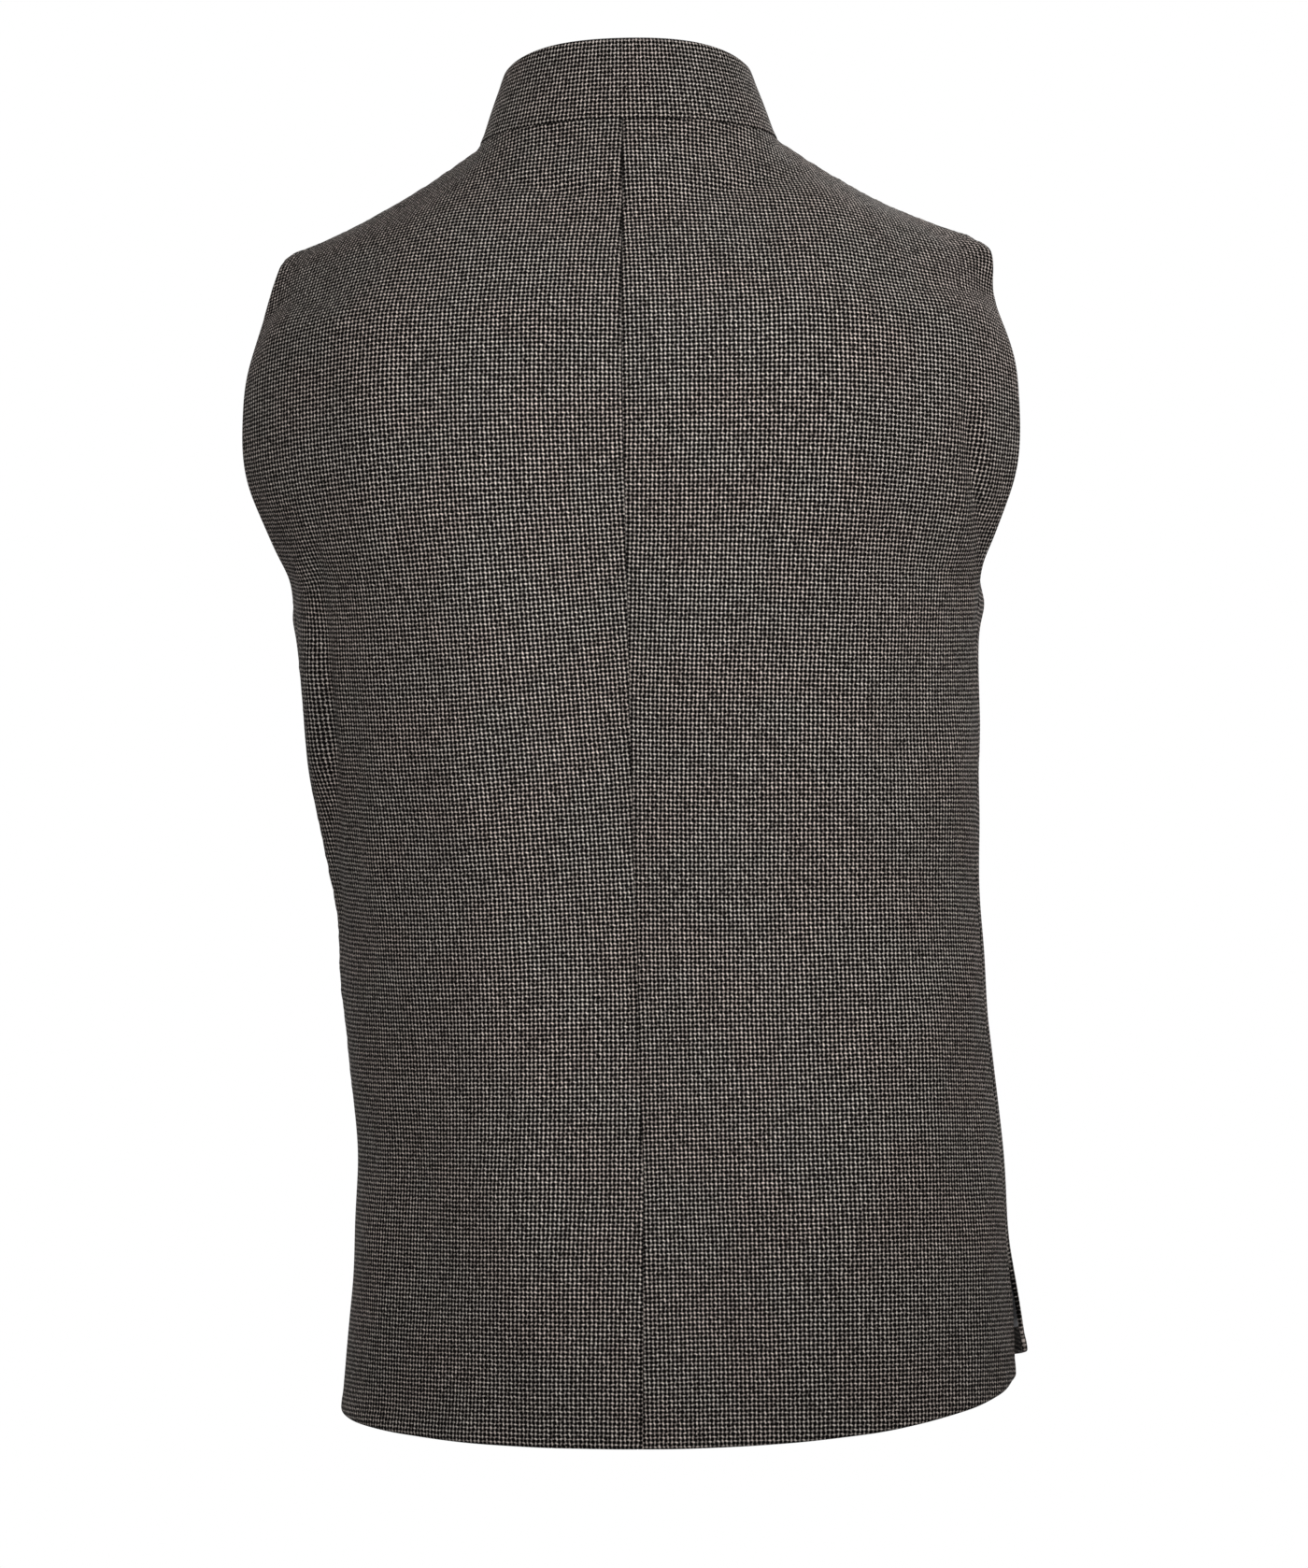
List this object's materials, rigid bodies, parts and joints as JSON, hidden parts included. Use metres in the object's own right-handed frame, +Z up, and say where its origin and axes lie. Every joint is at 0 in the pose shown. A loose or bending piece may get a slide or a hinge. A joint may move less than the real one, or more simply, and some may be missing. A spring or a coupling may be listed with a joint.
{
  "type": "nehru jacket",
  "caption": "Sleeveless hip-length jacket with a band collar, buttoned front, open armholes and side vents, held hollow as worn",
  "frame": {"origin": "the middle of the neck base, level with the points where the shoulder seams meet the collar, where the wearer's neck and shoulders hold the jacket", "axes": "+Z is up, -Y is the front of the jacket, +X is the wearer's left"},
  "size_m": [0.4266, 0.2517, 0.7651],
  "materials": {
    "outer_cloth": "matte basket-weave wool cloth, charcoal with pale grey yarns",
    "collar_cloth": "the same cloth over a stiff interlining",
    "button": "dark horn-look resin, semi-gloss"
  },
  "bodies": {
    "root": {"back_left": "outer_cloth", "back_right": "outer_cloth", "front_left": "outer_cloth", "front_right": "outer_cloth", "collar": "collar_cloth", "button_1": "button", "button_2": "button", "button_3": "button", "button_4": "button", "button_5": "button", "button_6": "button"}
  },
  "joints": []
}
